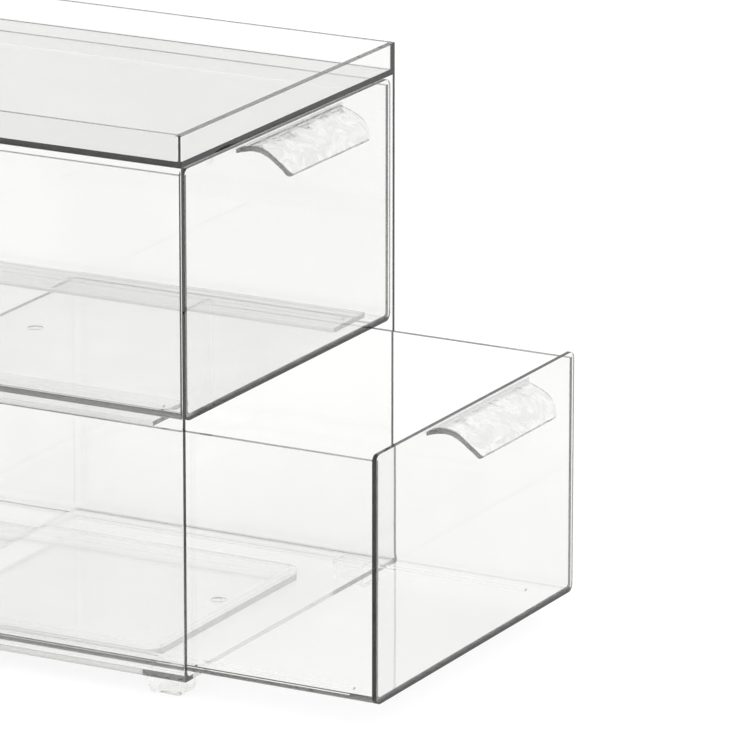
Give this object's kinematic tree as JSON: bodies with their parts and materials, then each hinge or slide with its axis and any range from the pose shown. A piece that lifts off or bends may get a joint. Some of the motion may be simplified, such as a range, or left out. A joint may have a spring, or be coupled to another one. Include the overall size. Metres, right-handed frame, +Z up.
{
  "type": "stackable drawer box",
  "caption": "Clear plastic drawer box: open-fronted casing on cup feet, sliding drawers with curved pull tabs, and a rimmed tray on top that takes the next box.",
  "frame": {"origin": "on the surface that the feet stand on, under the middle of the box with its lower drawer pulled out 77.5 mm", "axes": "+X to the right, seen from the front; the drawers pull out towards -Y; +Z up"},
  "size_m": [0.16, 0.3146, 0.2109],
  "materials": {
    "clear_shell": "clear, polished, colourless",
    "clear_ledge": "clear, slightly greyer where it is seen edge on",
    "clear_drawer": "clear, polished, colourless",
    "clear_pull": "clear, polished, with a slightly wavy surface"
  },
  "bodies": {
    "case": {"casing": "clear_shell", "top_tray": "clear_shell", "ledge_left": "clear_ledge", "ledge_right": "clear_ledge", "foot_front_left": "clear_shell", "foot_front_right": "clear_shell", "foot_rear_left": "clear_shell", "foot_rear_right": "clear_shell"},
    "upper_drawer": {"upper_tub": "clear_drawer", "upper_front": "clear_drawer", "upper_pull": "clear_pull"},
    "lower_drawer": {"lower_tub": "clear_drawer", "lower_front": "clear_drawer", "lower_pull": "clear_pull"}
  },
  "joints": [
    {"name": "upper_drawer_slide", "type": "slide", "parent": "case", "child": "upper_drawer", "axis": [0, -1, 0], "range_m": [0, 0.15]},
    {"name": "lower_drawer_slide", "type": "slide", "parent": "case", "child": "lower_drawer", "axis": [0, -1, 0], "range_m": [-0.0775, 0.0725]}
  ]
}
